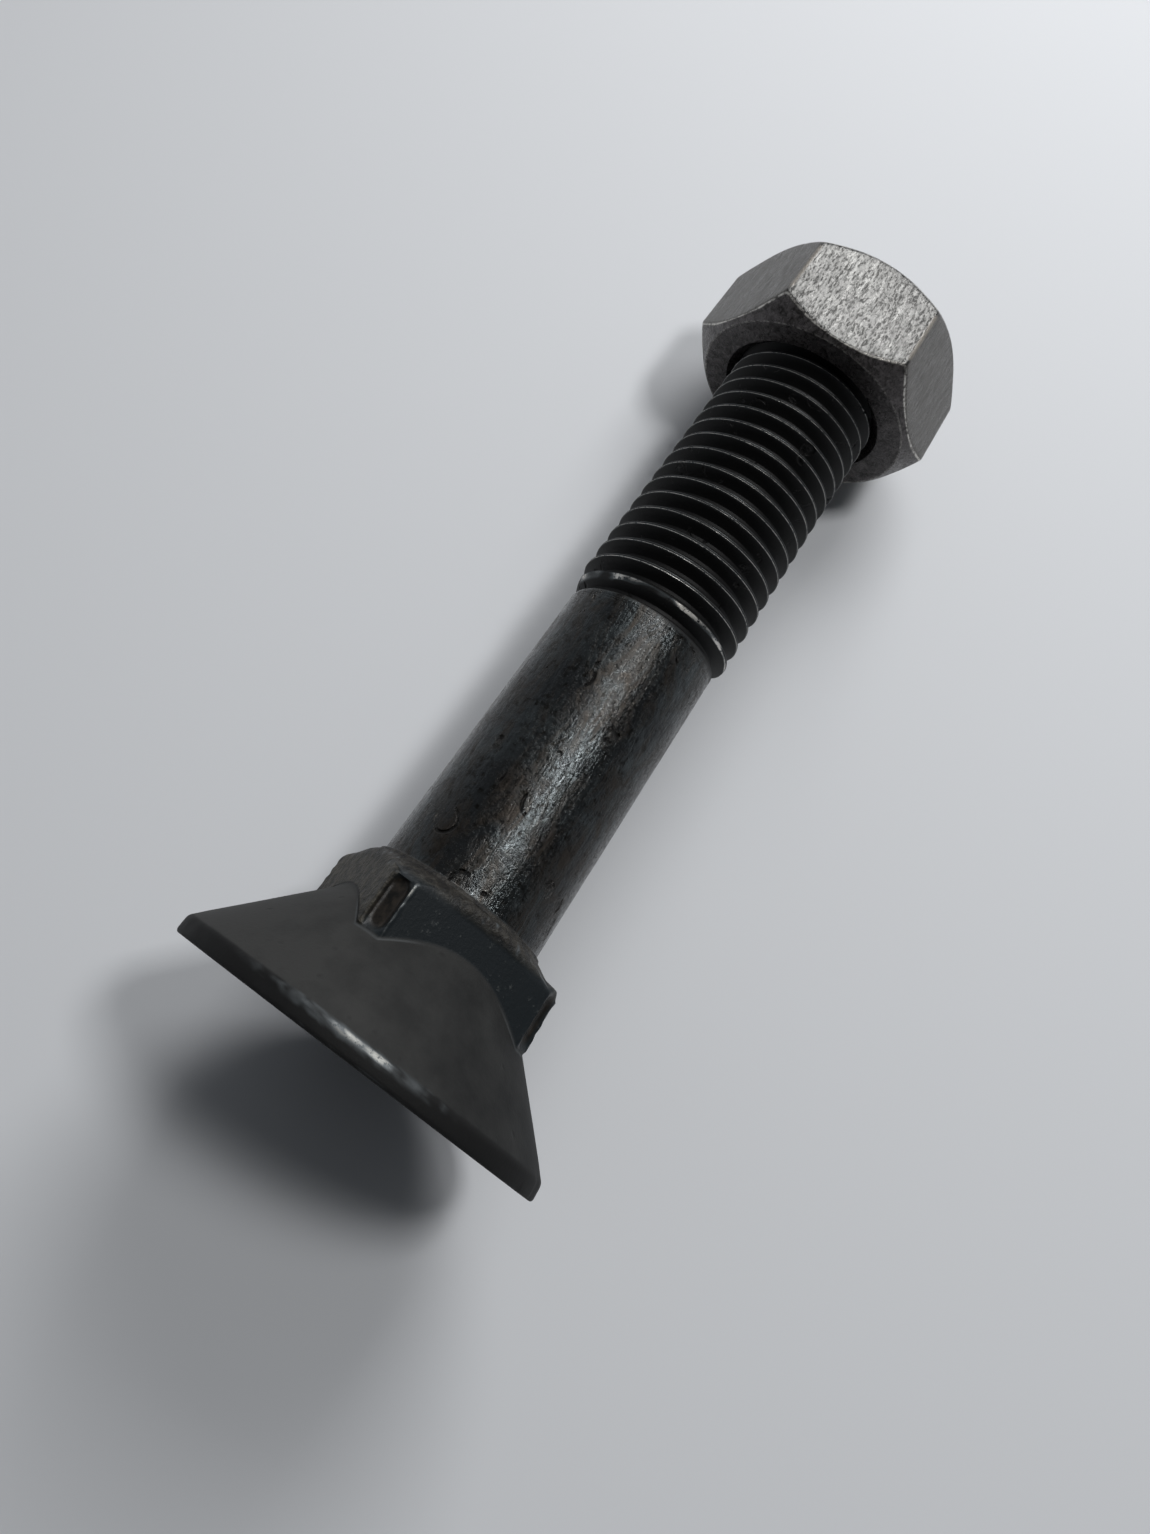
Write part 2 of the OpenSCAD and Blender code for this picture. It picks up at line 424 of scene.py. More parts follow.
# the plain shank, back from the run-out to the neck, and the bevelled end
SHANK_RINGS = 18
SHANK_END = NECK_TOP + 1.6
SHANK_WAVES, SHANK_RIPPLES = 0.022, 0.012
END_PROFILE = ((0.25, 0), (0.6, 0.06), (1.4, 0.16))
ring = open_ring(bolt_bm, THREAD_CUT)
for step in range(1, SHANK_RINGS + 1):
    def shank(turn, z=THREAD_CUT + (SHANK_END - THREAD_CUT) * step / SHANK_RINGS):
        wave = SHANK_WAVES * uneven(turn, z, grain=6, seed=80, around=SHANK_R)
        return SHANK_R + wave + SHANK_RIPPLES * uneven(turn, z, grain=2.5, seed=90, around=SHANK_R), z
    ring = next_ring(bolt_bm, ring, wear_and_painted_light, shank)
bmesh.ops.bridge_loops(bolt_bm, edges=ring + neck_end)
ring = open_ring(bolt_bm, BOLT_LEN)
for inset, drop in END_PROFILE:
    ring = next_ring(bolt_bm, ring, wear_and_painted_light, lambda turn: (THREAD_R - END_BEVEL - inset, BOLT_LEN - drop))
bmesh.ops.contextual_create(bolt_bm, geom=ring)
SHARP = math.radians(34)


def finished(bm, name, place):
    """Points the faces outwards, marks the sharp edges, lays the mesh in place and makes it an object."""
    bmesh.ops.recalc_face_normals(bm, faces=bm.faces)
    for face in bm.faces:
        face.smooth = len(face.verts) < 5
    for edge in bm.edges:
        edge.smooth = len(edge.link_faces) == 2 and edge.calc_face_angle() < SHARP
    bmesh.ops.transform(bm, matrix=place, verts=bm.verts)
    mesh = bpy.data.meshes.new(name)
    bm.to_mesh(mesh)
    bm.free()
    piece = bpy.data.objects.new(name, mesh)
    bpy.context.scene.collection.objects.link(piece)
    return piece


bolt = finished(bolt_bm, "forged_bolt", LAID)
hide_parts("bolt")
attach(bolt, "bolt")

# its finish: quenched, tempered and oiled steel with its black oxide left on. The oxide is matt on the
# cone, blue-black and smoother on the neck's flats, and rubbed to a broken gloss on the shank. Rolling and
# handling have bared grey steel on the thread crests, the neck's burr and the rim's upper edge, and on that
# edge the bare steel is also a painted highlight.


def hexed(code):
    """Linear colour for an sRGB hex value."""
    parts = [int(code[i:i + 2], 16) / 255 for i in (1, 3, 5)]
    return [c / 12.92 if c <= 0.04045 else ((c + 0.055) / 1.055) ** 2.4 for c in parts] + [1]


def add(tree, kind, feeds, out=0, **settings):
    """Adds a node with its settings, feeds its sockets with values or other outputs, and gives one output.
    A pair of sockets takes a pair, such as a range's start and end or a dark and a pale colour."""
    made = tree.nodes.new("ShaderNode" + kind)
    for name, value in settings.items():
        setattr(made, name, value)
    for sockets, sources in feeds.items():
        if not isinstance(sockets, tuple):
            sockets, sources = (sockets,), (sources,)
        for socket, source in zip(sockets, sources):
            if isinstance(source, bpy.types.NodeSocket):
                tree.links.new(source, made.inputs[socket])
            else:
                made.inputs[socket].default_value = source
    return made.outputs[out]


def new_material(name):
    material = bpy.data.materials.new(name)
    material.use_nodes = True
    return material, material.node_tree


def upright(tree):
    """The place on the upright bolt, in mm, so that a pattern keeps its real size and follows the axis."""
    coords = add(tree, "TexCoord", {}, "Object")
    laid = {0: coords, 1: LAID_AT, 2: (0, LAID_TURN, 0), 3: (MM, MM, MM)}
    return add(tree, "Mapping", laid, vector_type="TEXTURE")


def drawn_out(tree, spot, share):
    """The same place with its height cut to a share, which draws a pattern out along the axis."""
    return add(tree, "VectorMath", {0: spot, 1: (1, 1, share)}, operation="MULTIPLY")


def from_axis(tree, spot):
    """Radius of a place on the upright bolt."""
    return add(tree, "VectorMath", {0: drawn_out(tree, spot, 0)}, "Value", operation="LENGTH")


def surfaced(piece, material, tone, rough, metal, relief, strength):
    """Feeds the shader its colour, gloss, metal and relief in mm, and puts the material on the piece."""
    tree = material.node_tree
    bump = add(tree, "Bump", {"Height": relief, "Strength": strength, "Distance": MM})
    shader = tree.nodes["Principled BSDF"]
    feeds = {"Base Color": tone, "Roughness": rough, "Metallic": metal, "Normal": bump}
    for socket, source in feeds.items():
        tree.links.new(source, shader.inputs[socket])
    piece.data.materials.append(material)


oxide, tree = new_material("black_oxide_on_forged_steel")
spot = upright(tree)
height = add(tree, "SeparateXYZ", {0: spot}, "Z")
radius = from_axis(tree, spot)
wear_and_light_mark = add(tree, "Attribute", {}, "Fac", attribute_name="wear_and_painted_light")

# where each finish starts and is full, in mm: on the cone, radius plus height is 21.8
OFF_CONE = (21.85, 22.2)
RIM_BAND = (19.85, 20.05)
TOP_BAND = (14.2, 15.3)
SHANK_BAND = (16.2, 16.5)
THREAD_BAND = (49.6, 50.6)
LEFT_WAY = (-0.4, 0.916, 0)             # square out from the neck's left flat
LEFT_BAND = (9.7, 10.1)
cone_line = add(tree, "Math", {0: radius, 1: height}, operation="ADD")
off_cone = add(tree, "MapRange", {0: cone_line, (1, 2): OFF_CONE}, interpolation_type="SMOOTHSTEP")
on_rim = add(tree, "MapRange", {0: radius, (1, 2): RIM_BAND}, interpolation_type="SMOOTHSTEP")
on_shank = add(tree, "MapRange", {0: height, (1, 2): SHANK_BAND}, interpolation_type="SMOOTHSTEP")
on_thread = add(tree, "MapRange", {0: height, (1, 2): THREAD_BAND}, interpolation_type="SMOOTHSTEP")
on_top = add(tree, "MapRange", {0: height, (1, 2): TOP_BAND}, interpolation_type="SMOOTHSTEP")
left_side = add(tree, "VectorMath", {0: spot, 1: LEFT_WAY}, "Value", operation="DOT_PRODUCT")
left_flat = add(tree, "MapRange", {0: left_side, (1, 2): LEFT_BAND}, interpolation_type="SMOOTHSTEP")
scaled = add(tree, "Math", {0: on_top, 1: left_flat}, operation="MAXIMUM")
scaled = add(tree, "Math", {0: scaled, 1: off_cone}, operation="MULTIPLY")

# patterns, by how many there are to the millimetre, all coarse enough to show in a view of the whole bolt
CLOUDS_PER_MM = 0.2                     # 5 mm across
PATCHES_PER_MM = 0.36                   # 3 mm across and 6 mm long
PEBBLES_PER_MM = 1.1                    # humps of scale, 0.9 mm across
GRAINS_PER_MM = 2.6                     # 0.4 mm across
STREAKS_PER_MM = 2.2                    # 0.5 mm across and 3 mm long
PATCH_SHARE, STREAK_SHARE = 0.45, 0.16
patch_spot = drawn_out(tree, spot, PATCH_SHARE)
drawn_spot = drawn_out(tree, spot, STREAK_SHARE)
clouds = add(tree, "TexNoise", {"Vector": spot, "Scale": CLOUDS_PER_MM, "Detail": 5, "Roughness": 0.62})
grain = add(tree, "TexNoise", {"Vector": spot, "Scale": GRAINS_PER_MM, "Detail": 3, "Roughness": 0.7})
pebble = add(tree, "TexNoise", {"Vector": spot, "Scale": PEBBLES_PER_MM, "Detail": 4, "Roughness": 0.65})
streaks = add(tree, "TexNoise", {
    "Vector": drawn_spot, "Scale": STREAKS_PER_MM, "Detail": 4, "Roughness": 0.65, "Distortion": 0.7})
patches = add(tree, "TexNoise", {
    "Vector": patch_spot, "Scale": PATCHES_PER_MM, "Detail": 6, "Roughness": 0.72, "Distortion": 1.0})

# the cone: charcoal in clouds, painted paler towards its left as light falling on that side, with pits 2 mm
# apart, and a black rim
CONE_TONES = (hexed("#080909"), hexed("#2c2c2b"))
CONE_LIT = (-14, 16)                    # mm from the middle of the cone, to its left
CLOUD_SHIFT, CLOUD_MEAN = 50, 0.5       # how far a cloud moves that line, in mm
RIM_TONE = hexed("#050505")
PITS_PER_MM = 0.5
PIT_WALL, PIT_CLOUDS, PIT_SHADE = (0.04, 0.2), (0.5, 0.62), 0.7
PIT_TONE = hexed("#060606")
# painted light: clouds plus a gradient that pales the cone towards its left
mottle = add(tree, "Math", {0: clouds, 1: CLOUD_SHIFT, 2: left_side}, operation="MULTIPLY_ADD")
mottle = add(tree, "Math", {0: mottle, 1: CLOUD_SHIFT * CLOUD_MEAN}, operation="SUBTRACT")
lit_side = add(tree, "MapRange", {0: mottle, (1, 2): CONE_LIT})
cone_tone = add(tree, "Mix", {0: lit_side, (6, 7): CONE_TONES}, 2, data_type="RGBA")
cone_tone = add(tree, "Mix", {0: on_rim, (6, 7): (cone_tone, RIM_TONE)}, 2, data_type="RGBA")
pits = add(tree, "TexVoronoi", {"Vector": spot, "Scale": PITS_PER_MM}, "Distance")
pits = add(tree, "MapRange", {0: pits, (1, 2): PIT_WALL, (3, 4): (PIT_SHADE, 0)})
pitted = add(tree, "MapRange", {0: clouds, (1, 2): PIT_CLOUDS})
pits = add(tree, "Math", {0: pits, 1: pitted}, operation="MULTIPLY")
cone_tone = add(tree, "Mix", {0: pits, (6, 7): (cone_tone, PIT_TONE)}, 2, data_type="RGBA")

# the neck: blue-black flats with a few pale specks, crusted scale on its left flat, top and channels, and
# painted shade darkening the channels' hollows
NECK_TONES = (hexed("#0f1518"), hexed("#181d20"))
CRUST_TONES = (hexed("#1b1a17"), hexed("#4a463d"))
TOP_TONES = (hexed("#11100f"), hexed("#34312c"))
HOLLOW_SCALE_AND_SHADE_TONES = (hexed("#0b0a08"), hexed("#29241f"))
CRUST_SPAN = (0.38, 0.66)
SPECK_SPAN, SPECK_SHADE = (1.18, 1.36), 0.7
SPECK_TONE = hexed("#4e5150")
neck_tone = add(tree, "Mix", {0: clouds, (6, 7): NECK_TONES}, 2, data_type="RGBA")
crusted = add(tree, "MapRange", {0: pebble, (1, 2): CRUST_SPAN})
crust_tone = add(tree, "Mix", {0: crusted, (6, 7): CRUST_TONES}, 2, data_type="RGBA")
top_tone = add(tree, "Mix", {0: crusted, (6, 7): TOP_TONES}, 2, data_type="RGBA")
hollow_scale_and_shade_tone = add(tree, "Mix", {0: crusted, (6, 7): HOLLOW_SCALE_AND_SHADE_TONES}, 2, data_type="RGBA")
crust_tone = add(tree, "Mix", {0: on_top, (6, 7): (crust_tone, top_tone)}, 2, data_type="RGBA")
neck_tone = add(tree, "Mix", {0: scaled, (6, 7): (neck_tone, crust_tone)}, 2, data_type="RGBA")
specks = add(tree, "Math", {0: grain, 1: pebble}, operation="ADD")
specks = add(tree, "MapRange", {0: specks, (1, 2): SPECK_SPAN, 4: SPECK_SHADE})
neck_tone = add(tree, "Mix", {0: specks, (6, 7): (neck_tone, SPECK_TONE)}, 2, data_type="RGBA")

# the shank: blue-grey clouds, brown patches and dark pocks, and nicks from the heat-treatment basket, which
# are broken arcs a few millimetres long
SHANK_TONES = (hexed("#313334"), hexed("#3e4243"))
BROWN_TONE, POCK_TONE, NICK_TONE = hexed("#332f2b"), hexed("#1a1815"), hexed("#121110")
BLUE_SPAN, BROWN_SPAN = (0.44, 0.62), (0.44, 0.64)
POCK_SPAN, POCK_SHADE = (0.32, 0.46), 0.9
NICKS_PER_MM, NICK_ARC, NICK_WALL, NICK_SPAN = 0.22, 0.3, (0.01, 0.05), (0.53, 0.58)
NICK_SHADE = 0.8
blue = add(tree, "MapRange", {0: clouds, (1, 2): BLUE_SPAN})
shank_tone = add(tree, "Mix", {0: blue, (6, 7): SHANK_TONES}, 2, data_type="RGBA")
brown = add(tree, "MapRange", {0: patches, (1, 2): BROWN_SPAN})
shank_tone = add(tree, "Mix", {0: brown, (6, 7): (shank_tone, BROWN_TONE)}, 2, data_type="RGBA")
pocked = add(tree, "MapRange", {0: pebble, (1, 2): POCK_SPAN, (3, 4): (POCK_SHADE, 0)})
shank_tone = add(tree, "Mix", {0: pocked, (6, 7): (shank_tone, POCK_TONE)}, 2, data_type="RGBA")
cells = add(tree, "TexVoronoi", {"Vector": spot, "Scale": NICKS_PER_MM}, "Distance")
nick = add(tree, "Math", {0: cells, 1: NICK_ARC}, operation="SUBTRACT")
nick = add(tree, "Math", {0: nick}, operation="ABSOLUTE")
nick = add(tree, "MapRange", {0: nick, (1, 2): NICK_WALL, (3, 4): (1, 0)}, interpolation_type="SMOOTHSTEP")
broken = add(tree, "MapRange", {0: patches, (1, 2): NICK_SPAN})
nick = add(tree, "Math", {0: nick, 1: broken}, operation="MULTIPLY")
nick_shade = add(tree, "Math", {0: nick, 1: NICK_SHADE}, operation="MULTIPLY")
shank_tone = add(tree, "Mix", {0: nick_shade, (6, 7): (shank_tone, NICK_TONE)}, 2, data_type="RGBA")

# all of them together with the thread, then the painted shade of the channels, and what is rubbed to grey
# oxide and what is bared to steel, which on the rim's upper side is also a painted highlight
THREAD_TONE = hexed("#060606")
HOLLOW_SHADE_SPAN = (0, -0.7)
RUBBED_SPAN, RUBBED_TONE = (0.12, 0.6), hexed("#4d5153")
FLECK_SPAN, BARE_SPAN = (0.25, 0.48), (0.45, 0.95)
BARE_TONES = (hexed("#959591"), hexed("#d0cdc7"))
tone = add(tree, "Mix", {0: off_cone, (6, 7): (cone_tone, neck_tone)}, 2, data_type="RGBA")
tone = add(tree, "Mix", {0: on_shank, (6, 7): (tone, shank_tone)}, 2, data_type="RGBA")
tone = add(tree, "Mix", {0: on_thread, (6, 7): (tone, THREAD_TONE)}, 2, data_type="RGBA")
# painted shade: the channel's hollow is darkened, over its crusted scale
painted_hollow_shade = add(tree, "MapRange", {0: wear_and_light_mark, (1, 2): HOLLOW_SHADE_SPAN})
tone = add(tree, "Mix", {0: painted_hollow_shade, (6, 7): (tone, hollow_scale_and_shade_tone)}, 2, data_type="RGBA")
rubbed_and_highlight = add(tree, "MapRange", {0: wear_and_light_mark, (1, 2): RUBBED_SPAN}, interpolation_type="SMOOTHSTEP")
tone = add(tree, "Mix", {0: rubbed_and_highlight, (6, 7): (tone, RUBBED_TONE)}, 2, data_type="RGBA")
fleck = add(tree, "MapRange", {0: grain, (1, 2): FLECK_SPAN})
bare = add(tree, "Math", {0: wear_and_light_mark, 1: fleck}, operation="MULTIPLY", use_clamp=True)
bare = add(tree, "MapRange", {0: bare, (1, 2): BARE_SPAN}, interpolation_type="SMOOTHSTEP")
bare_tone = add(tree, "Mix", {0: on_thread, (6, 7): BARE_TONES}, 2, data_type="RGBA")
tone = add(tree, "Mix", {0: bare, (6, 7): (tone, bare_tone)}, 2, data_type="RGBA")

# roughness: matt on the cone, silkier on the neck's flats, and from glossy to satin on the shank
GLOSS_SPAN, GLOSS = (0.86, 1.12), (0.09, 0.38)
CONE_MATT, NECK_MATT, CRUST_MATT, THREAD_MATT = 0.72, 0.4, 0.55, 0.6
WORN_SPAN, CREST_GLOSS, RUBBED_GLOSS = (0.35, 0.65), (0.26, 0.5), 0.42
gloss = add(tree, "Math", {0: grain, 1: patches}, operation="ADD")
gloss = add(tree, "MapRange", {0: gloss, (1, 2): GLOSS_SPAN, (3, 4): GLOSS})
matt = add(tree, "MapRange", {0: off_cone, (3, 4): (CONE_MATT, NECK_MATT)})
matt = add(tree, "Mix", {0: scaled, (2, 3): (matt, CRUST_MATT)})
rough = add(tree, "Mix", {0: on_shank, (2, 3): (matt, gloss)})
rough = add(tree, "Mix", {0: on_thread, (2, 3): (rough, THREAD_MATT)})
worn_gloss = add(tree, "MapRange", {0: grain, (1, 2): WORN_SPAN, (3, 4): CREST_GLOSS})
worn_gloss = add(tree, "Mix", {0: on_thread, (2, 3): (RUBBED_GLOSS, worn_gloss)})
rough = add(tree, "Mix", {0: rubbed_and_highlight, (2, 3): (rough, worn_gloss)})

# metal shows through the shank's thin oxide and on the crests, and half as much where the forging is rubbed
METAL_MOST = 0.85
RUBBED_METAL = (0.45, 1)                # on the forging, and on the thread
metal = add(tree, "Math", {0: on_shank, 1: on_thread}, operation="SUBTRACT")
shown = add(tree, "MapRange", {0: on_thread, (3, 4): RUBBED_METAL})
shown = add(tree, "Math", {0: rubbed_and_highlight, 1: shown}, operation="MULTIPLY")
metal = add(tree, "Math", {0: metal, 1: shown}, operation="MAXIMUM")
metal = add(tree, "Math", {0: metal, 1: METAL_MOST}, operation="MULTIPLY")

# relief in mm: grit all over but the shank, scale on the crusted neck, pits in the cone, the shank's marks
GRIT_H, CRUST_H, PIT_H, NICK_H = 0.03, 0.45, -0.12, -0.4
STREAK_H, SHANK_PEBBLE_H, SHANK_GRAIN_H = 0.08, 0.09, 0.05
BOLT_BUMP = 0.8
BOLT_SHEEN = 0.28
grit = add(tree, "Math", {0: grain, 1: GRIT_H}, operation="MULTIPLY")
crust = add(tree, "Math", {0: pebble, 1: CRUST_H, 2: grit}, operation="MULTIPLY_ADD")
neck_relief = add(tree, "Mix", {0: scaled, (2, 3): (grit, crust)})
cone_relief = add(tree, "Math", {0: pits, 1: PIT_H, 2: grit}, operation="MULTIPLY_ADD")
head_relief = add(tree, "Mix", {0: off_cone, (2, 3): (cone_relief, neck_relief)})
shank_relief = add(tree, "Math", {0: streaks, 1: STREAK_H}, operation="MULTIPLY")
shank_relief = add(tree, "Math", {0: pebble, 1: SHANK_PEBBLE_H, 2: shank_relief}, operation="MULTIPLY_ADD")
shank_relief = add(tree, "Math", {0: grain, 1: SHANK_GRAIN_H, 2: shank_relief}, operation="MULTIPLY_ADD")
relief = add(tree, "Mix", {0: on_shank, (2, 3): (head_relief, shank_relief)})
relief = add(tree, "Mix", {0: on_thread, (2, 3): (relief, grit)})
nick = add(tree, "Math", {0: nick, 1: on_shank}, operation="MULTIPLY")
relief = add(tree, "Math", {0: nick, 1: NICK_H, 2: relief}, operation="MULTIPLY_ADD")
tree.nodes["Principled BSDF"].inputs["Specular IOR Level"].default_value = BOLT_SHEEN
surfaced(bolt, oxide, tone, rough, metal, relief, BOLT_BUMP)

# Nut: a hexagon of medium-carbon steel, hot-forged, with both faces turned and both ends of the tapped hole
# countersunk. Its corners are chamfered to a circle at each face, so that every flat ends in a curve.
# It is run along the bolt's thread to the place where it lies at rest.
NUT_AT = 90
NUT_H = 16
NUT_FLAT_R = 15
NUT_FACE_R = 14.4
NUT_CHAMFER = math.tan(math.radians(46))
NUT_MOUTH_R = 11.1
MOUTH_EDGE = 0.35
FACE_FALL = 0.03
HEX_SPACING = math.pi / 3
HEX_FIRST = HEX_SPACING / 2
HEX_BLEND = 0.3
NUT_STEPS = 240
HEX_CROWD = ((0, 0), (0.35, 3), (1, 30))


def hex_off(turn):
    """Angle from the nearest corner of the hexagon, from -30 to 30 degrees."""
    return off_corner(turn, HEX_FIRST, HEX_SPACING)


def hex_r(turn):
    off = hex_off(turn)
    left, right = (NUT_FLAT_R / math.cos(HEX_FIRST + side * off) for side in (-1, 1))
    return softer(left, right, HEX_BLEND)


def chamfer_z(turn):
    return (hex_r(turn) - NUT_FACE_R) * NUT_CHAMFER


# each end runs from the turned face over the chamfer to the rounded arc: how far along it a ring is, and
# its mark, which is 0 on the nut's dark skin, 1 on its bare flats and up to 2 at its corners
ARC_ROUND, ARC_SHARE = 0.5, 0.4
END_RINGS = (
    [(t, "face", 0) for t in (0.3, 0.7, 0.94, 1)] + [(t, "chamfer", 0) for t in (0.08, 0.3, 0.55, 0.8, 1)]
    + [(t, "arc", wear) for t, wear in ((0.2, 0.1), (0.4, 0.6), (0.6, 1), (0.8, 1), (1, 1))]
)
SIDE_STEPS = 10
CORNER_W = 0.22


def nut_end(t, part):
    """Shape of one ring at an end of the nut."""
    def shape(turn):
        r, z = hex_r(turn), chamfer_z(turn)
        if part == "face":
            return NUT_MOUTH_R + MOUTH_EDGE + (NUT_FACE_R - NUT_MOUTH_R - MOUTH_EDGE) * t, FACE_FALL * t
        arc_r = min(ARC_ROUND, (r - NUT_FACE_R) * ARC_SHARE)
        if part == "chamfer":
            out = NUT_FACE_R + (r - NUT_FACE_R - arc_r) * t
            return out, (out - NUT_FACE_R) * NUT_CHAMFER + FACE_FALL
        low = (r - arc_r, z - arc_r * NUT_CHAMFER + FACE_FALL)
        return arc(low, (r, z + FACE_FALL), (r, z + arc_r + FACE_FALL), t)
    return shape


nut_bm = bmesh.new()
drawn = nut_bm.verts.layers.float.new("drawn")
ring = first_ring(nut_bm, NUT_MOUTH_R + MOUTH_EDGE, NUT_STEPS, HEX_FIRST, HEX_SPACING, HEX_CROWD, cap=False)
for t, part, wear in END_RINGS:
    ring = next_ring(nut_bm, ring, drawn, nut_end(t, part), wear)
for step in range(1, SIDE_STEPS):
    def side(turn, t=step / SIDE_STEPS):
        low = chamfer_z(turn) + ARC_ROUND
        return hex_r(turn), low + (NUT_H - 2 * low) * t

    def corner_wear(turn):
        return 1 + math.exp(-(hex_off(turn) * NUT_FLAT_R / CORNER_W) ** 2)
    ring = next_ring(nut_bm, ring, drawn, side, corner_wear)
for t, part, wear in reversed(END_RINGS):
    def far_end(turn, shape=nut_end(t, part)):
        r, z = shape(turn)
        return r, NUT_H - z
    ring = next_ring(nut_bm, ring, drawn, far_end, wear)
ring = next_ring(nut_bm, ring, drawn, lambda turn: (NUT_MOUTH_R + MOUTH_EDGE, NUT_H))

# the tapped thread, cut clear of the bolt's by under 0.1 mm and opened to a cone at both ends
TAP_ROOT_R, TAP_PITCH_R, TAP_CREST_R = 10.1, 9.373, 8.647
TAP_TURNS = 9
TAP = (
    (0, TAP_ROOT_R), (0.2, TAP_ROOT_R), (0.62, TAP_PITCH_R), (1.039, TAP_CREST_R), (1.25, TAP_CREST_R),
    (1.461, TAP_CREST_R), (1.88, TAP_PITCH_R), (2.3, TAP_ROOT_R), (2.5, TAP_ROOT_R),
)
for point in threaded(nut_bm, TAP, (CREST_Z - NUT_AT) % PITCH - 2 * PITCH, TAP_TURNS, (0, NUT_H)):
    turn, r, z = math.atan2(point.co.y, point.co.x), point.co.xy.length, point.co.z
    placed(point, turn, max(r, NUT_MOUTH_R - z, NUT_MOUTH_R - (NUT_H - z)), z)
for at in (0, NUT_H):
    bmesh.ops.bridge_loops(nut_bm, edges=open_ring(nut_bm, at))
nut = finished(nut_bm, "hex_nut", LAID @ Matrix.Translation((0, 0, NUT_AT)))
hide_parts("nut")
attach(nut, "nut")

# its finish: bare steel, lightly oiled. The flats are drawn along the nut's axis and catch the light as a
# fine sparkling grain, the uppermost flat painted lighter and the others duller as painted light and shade,
# while the chamfers and faces keep a dark skin from the forge and the oil.
NUT_CLOUDS_PER_MM = 0.25                # 4 mm across
NUT_GRAINS_PER_MM = 3.16                # 0.3 mm across and 0.9 mm long
LINES_PER_MM = 2.64                     # 0.4 mm across and 3 mm long
DABS_PER_MM = 0.93                      # 1 mm across
GRAIN_SHARE, LINE_SHARE = 0.36, 0.12
bare_steel, tree = new_material("drawn_bare_steel")
spot = upright(tree)
on_flat = add(tree, "Attribute", {}, "Fac", attribute_name="drawn")
clouds = add(tree, "TexNoise", {"Vector": spot, "Scale": NUT_CLOUDS_PER_MM, "Detail": 4, "Roughness": 0.6})
grain = add(tree, "TexNoise", {
    "Vector": drawn_out(tree, spot, GRAIN_SHARE), "Scale": NUT_GRAINS_PER_MM, "Detail": 3, "Roughness": 0.8})
lines = add(tree, "TexNoise", {
    "Vector": drawn_out(tree, spot, LINE_SHARE), "Scale": LINES_PER_MM, "Detail": 4, "Roughness": 0.7})
soil = add(tree, "TexNoise", {
    "Vector": spot, "Scale": DABS_PER_MM, "Detail": 6, "Roughness": 0.75, "Distortion": 1.0})

# the flats: pale grains with dark ones between, the uppermost flat painted lit and the others painted duller
# as shade
LIT_FLAT_TONES = (hexed("#5f5e5d"), hexed("#848482"))
SHADED_FLAT_TONES = (hexed("#3f3c38"), hexed("#686663"))
PEPPER_SPAN, PEPPER_SHADE = (0.4, 0.58), (0.15, 1.0)
UPPER_FLAT = (-NUT_FLAT_R + 0.05, -NUT_FLAT_R + 0.3)
flat_tone = add(tree, "Mix", {0: clouds, (6, 7): LIT_FLAT_TONES}, 2, data_type="RGBA")
pepper = add(tree, "MapRange", {0: grain, (1, 2): PEPPER_SPAN, (3, 4): PEPPER_SHADE})
flat_tone = add(tree, "VectorMath", {0: flat_tone, 1: pepper}, operation="MULTIPLY")
shaded_flat_tone = add(tree, "Mix", {0: pepper, (6, 7): SHADED_FLAT_TONES}, 2, data_type="RGBA")
# painted light and shade: the flat facing up keeps the bright tones, the others take darker ones
down = add(tree, "SeparateXYZ", {0: spot}, "X")
painted_flat_shade = add(tree, "MapRange", {0: down, (1, 2): UPPER_FLAT})
flat_tone = add(tree, "Mix", {0: painted_flat_shade, (6, 7): (flat_tone, shaded_flat_tone)}, 2, data_type="RGBA")

# the skin of the faces and chamfers, with a broken bright line where the two meet
SKIN_TONES = (hexed("#1f1d1b"), hexed("#646060"))
SOIL_SPAN = (0.36, 0.64)
LINE_TONE = hexed("#a5a29e")
LINE_R, LINE_W, LINE_SPAN = NUT_FACE_R - 0.1, (0.04, 0.16), (0.42, 0.6)
soil = add(tree, "MapRange", {0: soil, (1, 2): SOIL_SPAN})
skin_tone = add(tree, "Mix", {0: soil, (6, 7): SKIN_TONES}, 2, data_type="RGBA")
ring_line = add(tree, "Math", {0: from_axis(tree, spot), 1: LINE_R}, operation="SUBTRACT")
ring_line = add(tree, "Math", {0: ring_line}, operation="ABSOLUTE")
ring_line = add(tree, "MapRange", {0: ring_line, (1, 2): LINE_W, (3, 4): (1, 0)})
ring_breaks = add(tree, "MapRange", {0: lines, (1, 2): LINE_SPAN})
ring_line = add(tree, "Math", {0: ring_line, 1: ring_breaks}, operation="MULTIPLY")
skin_tone = add(tree, "Mix", {0: ring_line, (6, 7): (skin_tone, LINE_TONE)}, 2, data_type="RGBA")
tone = add(tree, "Mix", {0: on_flat, (6, 7): (skin_tone, flat_tone)}, 2, data_type="RGBA")

